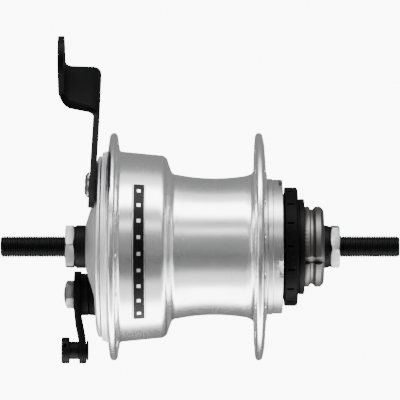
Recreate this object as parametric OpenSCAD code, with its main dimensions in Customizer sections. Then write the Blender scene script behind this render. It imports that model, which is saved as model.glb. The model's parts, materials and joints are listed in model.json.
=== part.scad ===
// Bicycle hub gear with a drum brake, in millimetres.
// X runs along the axle from the brake side to the sprocket side and Z is up. The origin is on
// the axle's axis, midway between the outer faces of the two locknuts.
// Angles around the axle run from +Y towards +Z.

/* [Axle] */
// Width over the two locknuts
over_nuts = 119; // [118.5:0.5:120]
// Diameter of the axle
axle_d = 9.525; // [9.4:0.025:9.6]
// Reach of the axle on the brake side
axle_left = 87.6; // [80:0.1:95]
// Reach of the axle on the sprocket side
axle_right = 85.5; // [80:0.1:95]
// Size of the locknuts across their flats
nut_af = 17.5; // [16:0.5:19]
// Bore for the gear selector, from the sprocket side
selector_bore_d = 5.2; // [5:0.1:5.4]

/* [Shell] */
// Diameter of the spoke flanges
flange_d = 98.9; // [97:0.1:100]
// Spoke holes in each flange
spoke_count = 18; // [14, 16, 18]
// Diameter of a spoke hole
spoke_hole_d = 2.7; // [2.4:0.1:2.9]
// Diameter of the circle of spoke holes in the brake side's flange
left_spoke_pcd = 91.2; // [91:0.1:91.6]
// Diameter of the circle of spoke holes in the sprocket side's flange
right_spoke_pcd = 89.9; // [89.5:0.1:90.1]
// Radius at the waist of the barrel
waist_r = 29.7; // [29:0.1:30.5]

/* [Brake] */
// Inner diameter of the drum
drum_d = 70; // [70:0.5:71]
// Gap between the linings and the drum when the brake is off
lining_gap = 0.5; // [0.45:0.05:0.6]
// Direction in which the torque arm points
arm_angle = 130; // [125:1:135]
// Width of the torque arm at the brake plate
arm_w = 29.5; // [28:0.5:30]
// Distance from the axle to the tip of the torque arm
arm_reach = 112; // [108:0.5:116]
// Distance from the axle to the brake cam and to the fulcrum pin
cam_r = 27.8; // [27.5:0.1:28]
// Distance from the brake cam to the cable pin
lever_length = 26.6; // [24:0.1:30]
// Direction of the lever when the brake is off
lever_angle = -115; // [-120:1:-110]

/* [Gears] */
// Teeth of the large toothed ring of a planet gear
planet_teeth = 20; // [16, 20]
// Module of the gear ring, the primary sun and the planets' large rings
gear_module = 0.75; // [0.75]
// How much thinner each tooth is than half a pitch
tooth_play = 0.12; // [0.1:0.01:0.16]

/* [Sprocket side] */
// Diameter of the sprocket seat
seat_d = 34.96; // [34.9:0.01:35]
// Diameter of the dust cap
cap_d = 51.7; // [50:0.1:53]
// Slots around the dust cap
cap_slots = 16; // [12:1:20]

/* [Hidden] */
$fn = 96;

// Axle
axle_r = axle_d / 2;
axle_core_r = 5.3;          // the thick middle on which the suns and the cage run
axle_core = [-12.5, 16.9];
key_slot = [17.2, 26];
key_slot_w = 3.2;
chain_bore_x = 28;          // where the selector bore steps down
chain_bore_r = 2.2;
face = over_nuts / 2;
nut_in = 55.4;
nut_chamfer = 23;
relief = [58.2, 59.8];      // a groove in the thread at the face of each locknut
relief_r = axle_r - 0.3;
running = 0.06;             // radial clearance of a running fit

// Shell
flange_r = flange_d / 2;
spoke_first = 4.8;          // angle of a hole in the brake side's flange
nose_r = 1.6;
left_flange_x = -38.4;
right_flange_x = 24.4;
mouth_x = -43.3;
waist_curve = 82;
waist_x = 5.3;
chamber_r = 26.5;
web = [-19.6, -13.4];
cup_r = 16.4;
liner_r = 37.2;

// Bearings: [x, pitch radius, ball radius, number of balls]
left_race = [-18, 11.2, 3.175, 9];
ring_race = [30.5, 20.9, 2.38, 24];
driver_race = [47.6, 11.6, 2.38, 12];
race_play = 0.07;
pocket_play = 0.1;

// Brake
drum_r = drum_d / 2;
lining_r = drum_r - lining_gap;
lining_t = 2;
shoe_r = lining_r - lining_t;
shoe_x = [-40.5, -21.5];
web_x = [-33, -29];
fulcrum_r = 5;
cam_angle = arm_angle - 180;
cam_block = [9, 5];         // thickness between the shoes, and radial width
cam_gap = 0.15;
spindle_r = 4.5;
shoe_half = 78;             // half of the angle that a shoe spans
lining_half = 52;
web_r = 19.3;               // inner radius of a shoe's web
spring_r = 18.8;
spring_x = [-36.2, -25.8];
spring_half = 9.6;
spring_outer = 2.3;
spring_wire_r = 0.5;
spring_pin_r = 0.8;
spring_pin_play = 0.1;

// Torque arm: measured along the arm from the axle, and across it
arm_t = 2.5;
arm_tilt = 3.8;
arm_low_x = -50.8;          // outer face on the axle's axis, if the arm reached that far
arm_corners = [86.6, 89.5]; // where the web's middle line meets those of the two strips
arm_bends = [4.4, 5];       // radii of the bends at the middle of the metal
arm_high_x = -59.5;
arm_high_w = 21;
arm_tip_r = 10;
clip_hole_r = 3.25;
rivet_r = 4;
rivets = [[28.95, -9.54], [33.9, 1.05]];
rivet_hole_r = 2.45;
fulcrum_stub_r = 3;
arm_start = 18;
recess_play = 0.05;

// Brake lever
lever_t = 3;
lever_x = -56.4;
lever_crank = 2.6;
crank_at = [10.2, 23.4];
lever_big_r = 10.2;
lever_end_r = 5.8;
bush_r = 9.25;
bush_x = [-50, -46.9];
lever_nut_af = 11;
lever_nut_x = -61.1;
lever_nut_dome = 14;

// Gears
centres = 15;
primary_teeth = 2 * centres / gear_module - planet_teeth;
ring_teeth = primary_teeth + 2 * planet_teeth;
small_planet_teeth = 15;
secondary_teeth = 27;
small_module = 2 * centres / (small_planet_teeth + secondary_teeth);
pressure_angle = 20;
gear_x = [4.6, 13.4];
small_gear_x = [-3, 4];
planets = 4;
planet_pin_r = 2;
clutch_angle = 21;          // behind the planet pins that it pushes
dog_angle = clutch_angle + 39.375;
clutch_arm_w = 5.6;
key_half = 10.5;

// Sprocket side
seat_r = seat_d / 2;
ring_seat_r = seat_r - 0.3;  // under the dust cap and the spacer
cap_r = cap_d / 2;
spacer_r = 20.75;
cap_x = [35.4, 41.2];
spacer_x = 44.05;
driver_end = 52.5;

// ---------- Helpers ----------

// Revolves an outline of [x, radius] points about the axle
module turned(outline) rotate([0, 90, 0]) rotate_extrude()
    polygon([for (p = outline) [p[1], p[0]]]);

// The same for a flat drawing in which the first axis is x and the second is the radius
module turned_drawing() rotate([0, 90, 0]) rotate_extrude()
    mirror([1, -1]) children();

module rod(x, r) translate([x[0], 0, 0]) rotate([0, 90, 0]) cylinder(h = x[1] - x[0], r = r);

module tube(x, outer, inner) difference() {
    rod(x, outer);
    rod([x[0] - 1, x[1] + 1], inner);
}

// Extrudes a flat drawing of [y, z] from x[0] to x[1]
module slab(x) translate([x[0], 0, 0]) rotate([90, 0, 90]) linear_extrude(x[1] - x[0]) children();

module at(angle, r) translate([0, r * cos(angle), r * sin(angle)]) children();

module around(n, first = 0) for (i = [0 : n - 1]) rotate([first + i * 360 / n, 0, 0]) children();

module hex(x, af, vertex) slab(x) rotate(vertex) circle(r = af / 2 / cos(30), $fn = 6);

// A hexagon nut whose corners are turned off on both faces
module hex_nut(x, af, vertex, bore) {
    land = af / 2 - 0.25;
    wide = af / 2 / cos(30) + 1;
    drop = (wide - land) * tan(nut_chamfer);
    difference() {
        intersection() {
            hex(x, af, vertex);
            turned([
                [x[0], 0], [x[0], land], [x[0] + drop, wide], [x[1] - drop, wide], [x[1], land],
                [x[1], 0]
            ]);
        }
        rod([x[0] - 1, x[1] + 1], bore);
    }
}

function arc(c, r, a0, a1, n = 6) = [
    for (i = [0 : n]) c + r * [cos(a0 + (a1 - a0) * i / n), sin(a0 + (a1 - a0) * i / n)]
];
function polar(r, a) = [r * cos(a), r * sin(a)];

// Involute teeth
function involute(a) = tan(a) * 180 / PI - a;
function half_tooth(m, z, r, play) =
    let (pitch_r = m * z / 2, base_r = pitch_r * cos(pressure_angle))
    (PI * m / 2 - play) / 2 / pitch_r * 180 / PI + involute(pressure_angle)
        - involute(acos(min(1, base_r / r)));
function flank_radii(m, z, add, ded) =
    let (base_r = m * z / 2 * cos(pressure_angle), low = max(base_r, m * z / 2 - ded), n = 5)
    [for (i = [0 : n]) low + (m * z / 2 + add - low) * i / n];
function tooth(m, z, a, add, ded, play) =
    let (radii = flank_radii(m, z, add, ded), n = len(radii), root = m * z / 2 - ded)
    concat(
        [polar(root, a - half_tooth(m, z, radii[0], play))],
        [for (r = radii) polar(r, a - half_tooth(m, z, r, play))],
        [for (i = [n - 1 : -1 : 0]) polar(radii[i], a + half_tooth(m, z, radii[i], play))],
        [polar(root, a + half_tooth(m, z, radii[0], play))]
    );
function gear_outline(m, z, first, add, ded, play) = [
    for (i = [0 : z - 1]) each tooth(m, z, first + i * 360 / z, add, ded, play)
];
module gear(m, z, first) polygon(gear_outline(m, z, first, 0.9 * m, 1.25 * m, tooth_play));

// Saw teeth inside a ring: a pawl catches them on the way round from +Z to +Y
module ratchet_hole(n, tip, root) polygon([
    for (i = [0 : n - 1]) each [polar(tip, i * 360 / n), polar(root, i * 360 / n)]
]);

// A curved pawl: its tail lies on a pin and its nose points back round the axle
module pawl(a, span, inner, outer, nose) polygon(concat(
    [for (i = [0 : 4]) polar(outer + (nose - outer) * i / 4, a - span * i / 4)],
    [for (i = [4 : -1 : 0]) polar(inner + (nose - inner) * pow(i / 4, 2) * 0.7, a - span * i / 4)]
));

// Balls of a bearing, and the track that they leave in the rings around them
module balls(race) around(race[3]) translate([race[0], race[1], 0]) sphere(r = race[2]);
module track(race) translate([race[0], race[1]]) circle(r = race[2] + race_play);
module ball_pockets(race) around(race[3])
    translate([race[0], race[1], 0]) sphere(r = race[2] + pocket_play);

// Two circles on one line and the straight sides that touch both
module link(length, r1, r2) {
    b = acos((r1 - r2) / length);
    circle(r = r1);
    translate([length, 0]) circle(r = r2);
    polygon([
        polar(r1, b), polar(r1, -b), [length, 0] + polar(r2, -b), [length, 0] + polar(r2, b)
    ]);
}

// Lays a child drawn with its length along +Y out along the arm's or the lever's direction
module pointing(angle) rotate([angle, 0, 0]) children();

// ---------- Axle and what is fixed to it ----------

module axle() color("#2b2b2d") difference() {
    turned([
        [-axle_left, 0], [-axle_left, axle_r - 0.9], [0.9 - axle_left, axle_r],
        [-relief[1], axle_r], [-relief[1], relief_r], [-relief[0], relief_r], [-relief[0], axle_r],
        [axle_core[0], axle_r], [axle_core[0], axle_core_r], [axle_core[1], axle_core_r],
        [axle_core[1], axle_r],
        [relief[0], axle_r], [relief[0], relief_r], [relief[1], relief_r], [relief[1], axle_r],
        [axle_right - 0.9, axle_r], [axle_right, axle_r - 0.9],
        [axle_right, 0]
    ]);
    rod([chain_bore_x, axle_right + 1], selector_bore_d / 2);
    rod([13, chain_bore_x + 1], chain_bore_r);
    translate([key_slot[0], -10, -key_slot_w / 2]) cube([key_slot[1] - key_slot[0], 20, key_slot_w]);
}

module left_locknut() color("silver") hex_nut([-face, -nut_in], nut_af, 173.1, axle_r);

module left_lock_washer() color("#2b2b2d") tube([-nut_in, -55], 9, axle_r);

module left_spacer() color("#1c1c1e") difference() {
    turned([[-55, 0], [-55, 9.1], [-54.7, 9.4], [-50.9, 9.4], [-50.6, 9.1], [-50.6, 0]]);
    rod([-56, -50], axle_r);
}

// The plate has a shallow recess for the arm and a spot face for the cam's bush
module brake_plate() color("#c9cacc") difference() {
    union() {
        turned(concat(
            [[-50.6, 0], [-50.6, 10.6], [-50.3, 11], [-47.6, 16.2], [-47.15, 17.4], [-45.8, 37.4]],
            arc([-44.7, 38.2], 1.1, 135, 90, 3),
            [[-43.65, 39.3], [-43.65, 36.6], [-43, 36], [-43.9, 15], [-43, 12], [-43, 0]]
        ));
        at(cam_angle, cam_r) rod([bush_x[1], -44], 10.2);
    }
    rod([-51, -42], axle_r);
    at(cam_angle, cam_r) rod([-48, -42], 6.3);
    at(cam_angle, cam_r) rod([-52, bush_x[1]], bush_r + 0.1);
    at(arm_angle, cam_r) rod([-48, -42], fulcrum_stub_r);
    translate([recess_play, 0, 0]) arm_blank();
    for (p = rivets) on_arm(p) rod([0, 8], rivet_hole_r);
}

// The arm is cut from its side view, which holds the bends, and its face view
function arm_x(u) = arm_low_x + u * tan(arm_tilt);

module on_arm(p) pointing(arm_angle) translate([arm_x(p[0]), p[0], p[1]])
    rotate([0, 0, -arm_tilt]) children();

module arm_side() {
    h = arm_t / 2;
    low = [arm_x(arm_corners[0]) + h / cos(arm_tilt), arm_corners[0]];
    high = [arm_high_x + h, arm_corners[1]];
    rise = 90 - arm_tilt;
    web = atan2(high[1] - low[1], high[0] - low[0]);
    c0 = low + arm_bends[0] * (polar(1, rise + 90) - tan((web - rise) / 2) * polar(1, rise));
    c1 = high + arm_bends[1] * (polar(1, web - 90) - tan((web - 90) / 2) * polar(1, web));
    translate([0, 0, -30]) linear_extrude(60) polygon(concat(
        [[arm_x(arm_start), arm_start]],
        arc(c0, arm_bends[0] - h, rise - 90, web - 90),
        arc(c1, arm_bends[1] + h, web + 90, 180, 8),
        [[arm_high_x, arm_reach + 1], [arm_high_x + arm_t, arm_reach + 1]],
        arc(c1, arm_bends[1] - h, 180, web + 90),
        arc(c0, arm_bends[0] + h, web - 90, rise - 90, 8),
        [[arm_x(arm_start) + arm_t / cos(arm_tilt), arm_start]]
    ));
}

module arm_face() {
    half = arm_w / 2;
    top = arm_high_w / 2;
    tip = arm_reach - arm_tip_r;
    polygon(concat(
        [[19.5, -7.5], [22, -12.5], [30, -14], [44, -half], [85.8, -half]],
        arc([85.8, -half + 4], 4, -90, -52, 4),
        [[91, -top], [tip, -arm_tip_r], [tip, arm_tip_r], [91, top]],
        arc([85.8, half - 4], 4, 52, 90, 4),
        [[44, half], [35, half - 1.5], [30, 9.8], [20.5, -1.5]]
    ));
    translate([tip, 0]) circle(r = arm_tip_r);
}

module arm_blank() pointing(arm_angle) intersection() {
    arm_side();
    slab([-70, -40]) arm_face();
}

module torque_arm() color("#1b1b1d") difference() {
    arm_blank();
    pointing(arm_angle) translate([0, arm_reach - arm_tip_r, 0]) rod([-70, -40], clip_hole_r);
    for (p = rivets) on_arm(p) rod([-1, 8], rivet_hole_r);
}

module arm_rivets() color("silver") for (p = rivets) on_arm(p) {
    rod([-0.5, -44 - arm_x(p[0])], rivet_hole_r);
    turned(concat(
        [[0, 0], [-1.9, 0]], arc([-0.9, rivet_r - 1], 1, 180, 90, 4), [[0, rivet_r]]
    ));
}

module cam_bush() color("#1c1c1e") at(cam_angle, cam_r) difference() {
    union() {
        rod(bush_x, bush_r);
        rod([bush_x[1] - 0.1, -42.8], 6.25);
    }
    rod([-51, -42], spindle_r + running);
}

module fulcrum_pin() color("#8d8f93") at(arm_angle, cam_r) {
    rod([-43, -21], fulcrum_r);
    rod([-46.1, -43], fulcrum_stub_r);
}

module brake_plate_nut() color("#8d8f93") hex_nut([-43, -39.5], 19, 12, axle_r);
module cone_locknut() color("#8d8f93") hex_nut([-31.5, -28], nut_af, 0, axle_r);

module left_cone() color("#8d8f93") turned_drawing() difference() {
    polygon([
        [-28, axle_r], [-28, 9.2], [-21.5, 9.2], [left_race[0], left_race[1]], [-15.6, 8],
        [-15.6, axle_r]
    ]);
    track(left_race);
}

module secondary_sun() color("#9a9ca0") difference() {
    slab(small_gear_x) gear(small_module, secondary_teeth, 0);
    rod([-4, 5], axle_core_r);
}

module right_cone() color("#1c1c1e") turned_drawing() difference() {
    polygon([
        [44.2, axle_r], [44.2, 8], [driver_race[0], driver_race[1]], [51.2, 9.3], [52.8, 9.4],
        [54.7, 9.1], [55.1, 8.8], [nut_in, 8.8], [nut_in, axle_r]
    ]);
    track(driver_race);
}

module right_locknut() color("silver") hex_nut([nut_in, face], nut_af, 185, axle_r);

// ---------- Shell and what turns with it ----------

module hub_shell() color("#cfd0d2") difference() {
    turned(concat(
        [[mouth_x, 40.6], [-42.9, 41.25], [-41.4, 41.7]],
        [[-40.75, 42.3], [-40.45, 45]],
        arc([left_flange_x, flange_r - nose_r], nose_r, 168, 20, 8),
        [[-36.25, 45]],
        arc([-34.2, 42.8], 1.5, 200, 262, 4),
        [[-33.2, 41.15], [-18.6, 39.75]],
        arc([-18.35, 36.2], 3.5, 90, 12, 8),
        arc([-10.95, 34.1], 2.85, 198, 255, 6),
        arc([waist_x, waist_r + waist_curve], waist_curve, -101.5, -80, 16),
        arc([19.4, 34.1], 2.9, -80, 0, 6),
        [[22.35, 45]],
        arc([right_flange_x, flange_r - nose_r], nose_r, 165, 12, 8),
        [[26.7, 45], [27.7, 31.5], [27.9, 31]],
        [[27.9, 27.45], [18, 27.45], [18, chamber_r], [web[1], chamber_r], [web[1], cup_r]],
        [[web[0], cup_r], [web[0], liner_r], [-42.6, liner_r], [mouth_x, 37.9]]
    ));
    spoke_holes(left_flange_x, left_spoke_pcd, spoke_first);
    spoke_holes(right_flange_x, right_spoke_pcd, spoke_first + 180 / spoke_count);
}

module spoke_holes(x, pcd, first) around(spoke_count, first) translate([0, pcd / 2, 0])
    rod([x - 5, x + 5], spoke_hole_d / 2);

module drum_liner() color("#77797d") tube([-42, -20], liner_r, drum_r);

module left_ball_cup() color("#9a9ca0") turned_drawing() difference() {
    polygon([
        [-20.5, 14.7], [-20.5, cup_r], [-14.5, cup_r], [-14.5, 9.3], [-15.4, 9.3],
        [left_race[0], left_race[1]]
    ]);
    track(left_race);
}

module shell_ratchet() color("#9a9ca0") slab([-12.5, -7]) difference() {
    circle(r = chamber_r - 0.05);
    ratchet_hole(20, 22.2, 23.2);
}

module ball_ring() color("#c4c5c8") difference() {
    turned_drawing() difference() {
        polygon([
            [18.4, 25], [18.4, 27.4], [28, 27.4], [28, 29.2], [28.3, 29.5], [30.1, 29.5],
            [30.4, 29.1], [34.3, 29.1], [34.6, 28.8], [34.6, 23.7], [30.6, 23.7],
            [ring_race[0], ring_race[1]], [28.2, 19.3], [27.6, 19.3], [27.6, 25]
        ]);
        track(ring_race);
    }
    around(4, 198.6) translate([32.8, 26, -3.5]) cube([3, 5, 7]);
    difference() {
        rod([18, 25.4], 25.2);
        slab([17, 26]) difference() {
            circle(r = 26);
            ratchet_hole(24, 24, 25);
        }
    }
}

// ---------- Bearings ----------

module left_balls() color("#b9bbbf") balls(left_race);
module ring_balls() color("#b9bbbf") balls(ring_race);
module driver_balls() color("#b9bbbf") balls(driver_race);

module left_ball_cage() color("#8d8f93") difference() {
    tube([-21.9, -20.8], 14.2, 10.3);
    ball_pockets(left_race);
}
module ring_ball_cage() color("#8d8f93") difference() {
    tube([31.6, 33.2], 23.3, 21.2);
    ball_pockets(ring_race);
}
module driver_ball_cage() color("#8d8f93") difference() {
    tube([48.6, 50.2], 13.9, 11.9);
    ball_pockets(driver_race);
}

// ---------- Driver ----------

module driver() color("#b9bbbf") difference() {
    turned_drawing() difference() {
        polygon(concat(
            [[20.8, 13.4], [20.8, 16.4], [29.2, 16.4], [29.2, 17.6]],
            [[ring_race[0], ring_race[1]], [33.3, 18.4], [cap_x[0], 18.4], [cap_x[0], ring_seat_r]],
            [[spacer_x, ring_seat_r], [spacer_x, seat_r], [46.2, seat_r]],
            [[46.6, 16.35], [47.6, 16.2], [48.9, seat_r], [51.2, seat_r]],
            arc([51.2, seat_r - 1.3], 1.3, 90, 0, 4),
            [[driver_end, 14.6], [driver_race[0], 14.6], [driver_race[0], driver_race[1]]],
            [[45.2, 10.4], [43.4, 10.4], [43.4, 8.4], [29.2, 8.4], [29.2, 13.4]]
        ));
        track(ring_race);
        track(driver_race);
    }
    around(4, clutch_angle)
        translate([20, 10, -clutch_arm_w / 2 - 0.15]) cube([8.5, 10, clutch_arm_w + 0.3]);
    around(3, 80) translate([43, 15.8, -1.5]) cube([12, 4, 3]);
}

module dust_cap() color("#17171a") difference() {
    turned(concat(
        [[34.5, 22.2], [34.5, 22.9], [cap_x[0], 22.9], [cap_x[0], cap_r - 0.5]],
        [[cap_x[0] + 0.5, cap_r]],
        arc([cap_x[1] - 1.2, cap_r - 1.2], 1.2, 90, 0, 4),
        [[cap_x[1], ring_seat_r], [38.6, ring_seat_r], [38.6, 19], [cap_x[0] + 0.6, 19]],
        [[cap_x[0] + 0.6, 22.2]]
    ));
    around(cap_slots, 179) translate([36.5, cap_r - 0.7, -0.5]) cube([2.7, 2, 1]);
}

module sprocket_spacer() color("#17171a") tube([cap_x[1], spacer_x], spacer_r, ring_seat_r);

module driver_seal() color("#2b2b2d") tube([51.3, 52.2], 14.55, 9.6);

module clutch() color("#9a9ca0") difference() {
    union() {
        rod([17.6, 23.6], 13);
        around(4, clutch_angle)
            translate([17.6, 12.5, -clutch_arm_w / 2]) cube([6, 5.7, clutch_arm_w]);
    }
    rod([17, 22.2], 11.2);
    rod([17, 24], axle_r + 0.3);
}

// The coils are drawn as rings that touch
module coil_spring(x, outer, inner, turns) {
    wire = (outer - inner) / 2;
    step = (x[1] - x[0] - 2 * wire) / (turns - 1);
    turned_drawing() {
        for (i = [0 : turns - 1]) translate([x[0] + wire + i * step, inner + wire])
            circle(r = wire);
        translate([x[0] + wire, inner + wire * 0.7]) square([x[1] - x[0] - 2 * wire, wire * 0.6]);
    }
}
module clutch_spring() color("#77797d") coil_spring([23.7, 44.1], 7.6, 6, 8);

module selector_key() color("#8d8f93") {
    translate([19.3, -key_half, -1.5]) cube([2.6, 2 * key_half, 3]);
    rod([21.9, 27.5], 2.1);
}

// ---------- Gears ----------

module planet_cage() color("#9a9ca0") difference() {
    union() {
        rod([-12.5, -6.4], 18.5);
        rod([-6.4, -3.4], 21.5);
        rod([13.8, 16.8], 20);
        around(planets, 45) translate([0, 17.5, 0]) rod([-3.5, 13.9], 3.2);
    }
    rod([-13, 17], axle_core_r + running);
    around(planets) translate([0, centres, 0]) rod([-6.5, 17], planet_pin_r);
    around(3, 10) slab([-11.6, -7.4]) polygon(concat(
        arc([0, 0], 14.3, 4, -34, 4), arc([0, 0], 19, -34, 4, 4)
    ));
}

module planet_pins() color("#b9bbbf")
    around(planets) translate([0, centres, 0]) rod([-6.2, 20.2], planet_pin_r);

module cage_pawls() color("#77797d") around(3, 10) slab([-11.4, -7.6])
    pawl(2, 32, 14.6, 18.3, 21.4);

// A planet turns by twice its place around the axle, so that both of its rings mesh
module planet_gear(i) color("#a5a7ab") rotate([i * 360 / planets, 0, 0])
    translate([0, centres, 0]) rotate([i * 360 / planets, 0, 0]) difference() {
        union() {
            slab(gear_x) gear(gear_module, planet_teeth, 180 + 180 / planet_teeth);
            slab(small_gear_x)
                gear(small_module, small_planet_teeth, 180 + 180 / small_planet_teeth);
            rod([small_gear_x[1] - 0.1, gear_x[0] + 0.1], 4.4);
        }
        rod([small_gear_x[0] - 1, gear_x[1] + 1], planet_pin_r + running);
    }
module planet_gear_1() planet_gear(0);
module planet_gear_2() planet_gear(1);
module planet_gear_3() planet_gear(2);
module planet_gear_4() planet_gear(3);

module primary_sun() color("#a5a7ab") difference() {
    slab(gear_x) gear(gear_module, primary_teeth, 0);
    rod([gear_x[0] - 1, gear_x[1] + 1], axle_core_r + running);
}

// The gear ring is cut with the outline of an outer gear that has longer teeth
module gear_ring() color("#9a9ca0") difference() {
    union() {
        slab(gear_x) difference() {
            circle(r = 25.6);
            intersection() {
                polygon(gear_outline(gear_module, ring_teeth, 180 / ring_teeth,
                    1.25 * gear_module, 1.2 * gear_module, -tooth_play));
                circle(r = 24.6);
            }
            circle(r = gear_module * (ring_teeth / 2 - 0.9));
        }
        tube([gear_x[1], 17.5], 25.6, 20.9);
        tube([17.4, 27], 23.4, 20.6);
        around(4, dog_angle) intersection() {
            tube([24.2, 26.8], 20.8, 17);
            translate([24, 15, -1.5]) cube([4, 8, 3]);
        }
    }
    around(2, 12) slab([18.8, 24.8]) polygon(concat(
        arc([0, 0], 21.2, 3, -25, 4), arc([0, 0], 24, -25, 3, 4)
    ));
}

module ring_pawls() color("#77797d") around(2, 12) slab([19, 24.6])
    pawl(2, 23, 21.35, 23.2, 24.6);

// ---------- Brake lever and shoes ----------

module lever_side() translate([0, 0, -15]) linear_extrude(30) polygon([
    [lever_x, -12], [lever_x, crank_at[0]], [lever_x + lever_crank, crank_at[1]],
    [lever_x + lever_crank, 40], [lever_x + lever_crank + lever_t, 40],
    [lever_x + lever_crank + lever_t, crank_at[1] - 0.6], [lever_x + lever_t, crank_at[0] - 0.6],
    [lever_x + lever_t, -12]
]);

module brake_lever() color("#1c1c1e") at(cam_angle, cam_r) pointing(lever_angle) difference() {
    intersection() {
        lever_side();
        slab([-60, -48]) link(lever_length, lever_big_r, lever_end_r);
    }
    rod([-60, -48], spindle_r);
    translate([0, lever_length, 0]) rod([-60, -48], 3.2);
}

module lever_nut() color("silver") at(cam_angle, cam_r) intersection() {
    hex([lever_nut_x, lever_x], lever_nut_af, lever_angle + 9.5);
    translate([lever_nut_x + lever_nut_dome, 0, 0]) sphere(r = lever_nut_dome);
}

module lever_spacer() color("#1c1c1e") at(cam_angle, cam_r)
    tube([lever_x + lever_t, bush_x[0] - 0.1], bush_r, spindle_r);

module brake_cam() color("#8d8f93") at(cam_angle, cam_r) {
    rod([lever_x, shoe_x[0] - 0.5], spindle_r);
    rotate([cam_angle, 0, 0]) translate([shoe_x[0] - 0.6, -cam_block[1] / 2, -cam_block[0] / 2])
        cube([18.6, cam_block[1], cam_block[0]]);
}

module cable_pin() color("#1c1c1e") at(cam_angle, cam_r) pointing(lever_angle)
    translate([0, lever_length, 0]) difference() {
        union() {
            rod([-61.5, -58.1], 5.75);
            rod([-58.2, lever_x + lever_crank - 0.1], 3.9);
            rod([lever_x + lever_crank - 0.2, lever_x + lever_crank + lever_t + 0.3], 3.14);
            rod([lever_x + lever_crank + lever_t + 0.2, lever_x + lever_crank + lever_t + 1], 4.4);
        }
        translate([-59.8, 0, -8]) cylinder(h = 16, r = 0.9);
    }

// A part of a ring, in the directions up to half away from side
module sector(inner, outer, side, half) intersection() {
    difference() {
        circle(r = outer);
        circle(r = inner);
    }
    polygon([[0, 0], polar(60, side - half), polar(60, side), polar(60, side + half)]);
}

// A shoe spans the half circle around its side, from the fulcrum pin to the cam
module shoe(side) difference() {
    union() {
        slab(web_x) sector(web_r, shoe_r, side, shoe_half);
        slab(shoe_x) sector(shoe_r - 2.4, shoe_r, side, shoe_half);
        for (end = [-1, 1])
            slab(shoe_x) sector(23.5, shoe_r - 1, side + end * (shoe_half - 6), 6);
    }
    at(arm_angle, cam_r) rod([-45, -20], fulcrum_r + running);
    pointing(cam_angle) for (z = [-spring_half, spring_half])
        translate([0, spring_r, z]) rod([-45, -20], spring_pin_r + spring_pin_play);
    rotate([cam_angle, 0, 0]) translate([-45, 18, -cam_block[0] / 2 - cam_gap])
        cube([25, 20, cam_block[0] + 2 * cam_gap]);
}
module lining(side) slab(shoe_x) sector(shoe_r, lining_r, side, lining_half);

module front_shoe() color("#b0b2b6") shoe(arm_angle - 90);
module rear_shoe() color("#b0b2b6") shoe(arm_angle + 90);
module front_lining() color("#5a4a3a") lining(arm_angle - 90);
module rear_lining() color("#5a4a3a") lining(arm_angle + 90);

// A spring on each side of the webs draws the shoes on to the cam. Pins through the webs hold both.
module shoe_springs() color("#77797d") pointing(cam_angle) translate([0, spring_r, 0]) {
    for (x = spring_x) translate([x, 0, 0]) rotate([0, -90, 0])
        coil_spring([-spring_half, spring_half], spring_outer, spring_outer - 2 * spring_wire_r, 9);
    for (z = [-spring_half, spring_half]) translate([0, 0, z]) rod(spring_x, spring_pin_r);
}

// ---------- The assembly ----------

axle();
left_locknut();
left_lock_washer();
left_spacer();
brake_plate();
torque_arm();
arm_rivets();
cam_bush();
fulcrum_pin();
brake_plate_nut();
cone_locknut();
left_cone();
secondary_sun();
right_cone();
right_locknut();
hub_shell();
drum_liner();
left_ball_cup();
shell_ratchet();
ball_ring();
left_balls();
left_ball_cage();
ring_balls();
ring_ball_cage();
driver_balls();
driver_ball_cage();
driver();
dust_cap();
sprocket_spacer();
driver_seal();
clutch();
clutch_spring();
selector_key();
planet_cage();
planet_pins();
cage_pawls();
planet_gear_1();
planet_gear_2();
planet_gear_3();
planet_gear_4();
primary_sun();
gear_ring();
ring_pawls();
brake_lever();
lever_nut();
lever_spacer();
brake_cam();
cable_pin();
front_shoe();
front_lining();
rear_shoe();
rear_lining();
shoe_springs();
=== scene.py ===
"""Looks of a bicycle hub gear with a drum brake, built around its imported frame.

Shapes are drawn in millimetres and turned into metres when their mesh is made. X runs along the
axle and Z is up. An outline is a list of (x, radius) points around the axle. Angles around the
axle run from +Y towards +Z, so 180 degrees is the side that faces the camera.
"""
import json
import math

import bmesh
import bpy
from mathutils import Matrix, Vector


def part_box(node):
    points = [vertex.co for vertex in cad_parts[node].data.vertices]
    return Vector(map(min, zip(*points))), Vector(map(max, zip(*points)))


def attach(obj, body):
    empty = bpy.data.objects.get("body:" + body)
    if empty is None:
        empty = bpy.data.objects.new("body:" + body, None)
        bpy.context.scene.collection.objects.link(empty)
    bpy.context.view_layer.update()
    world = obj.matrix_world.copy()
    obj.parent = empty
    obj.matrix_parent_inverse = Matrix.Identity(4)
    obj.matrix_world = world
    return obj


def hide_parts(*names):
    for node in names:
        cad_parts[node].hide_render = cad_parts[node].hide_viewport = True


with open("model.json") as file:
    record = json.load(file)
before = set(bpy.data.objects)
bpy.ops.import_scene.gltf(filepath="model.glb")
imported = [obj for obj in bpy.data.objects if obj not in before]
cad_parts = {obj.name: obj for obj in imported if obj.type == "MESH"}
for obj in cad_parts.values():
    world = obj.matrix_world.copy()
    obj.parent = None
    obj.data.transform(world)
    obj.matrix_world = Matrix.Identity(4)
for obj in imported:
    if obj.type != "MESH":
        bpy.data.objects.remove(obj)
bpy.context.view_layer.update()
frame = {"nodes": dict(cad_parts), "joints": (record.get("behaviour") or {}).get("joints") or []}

MM = 0.001
SHARP = math.radians(38)
TINY = 1e-6


# ---------- Places taken from the frame ----------

def span(node, axis=0):
    """Lowest and highest coordinate of a node along an axis, in millimetres."""
    lo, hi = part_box(node)
    return lo[axis] / MM, hi[axis] / MM


def reach(node):
    """Largest radius of a round node about its own axis, in millimetres."""
    lo, hi = span(node, 1)
    return (hi - lo) / 2


JOINTS = {j["name"]: j for j in frame["joints"]}


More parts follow.
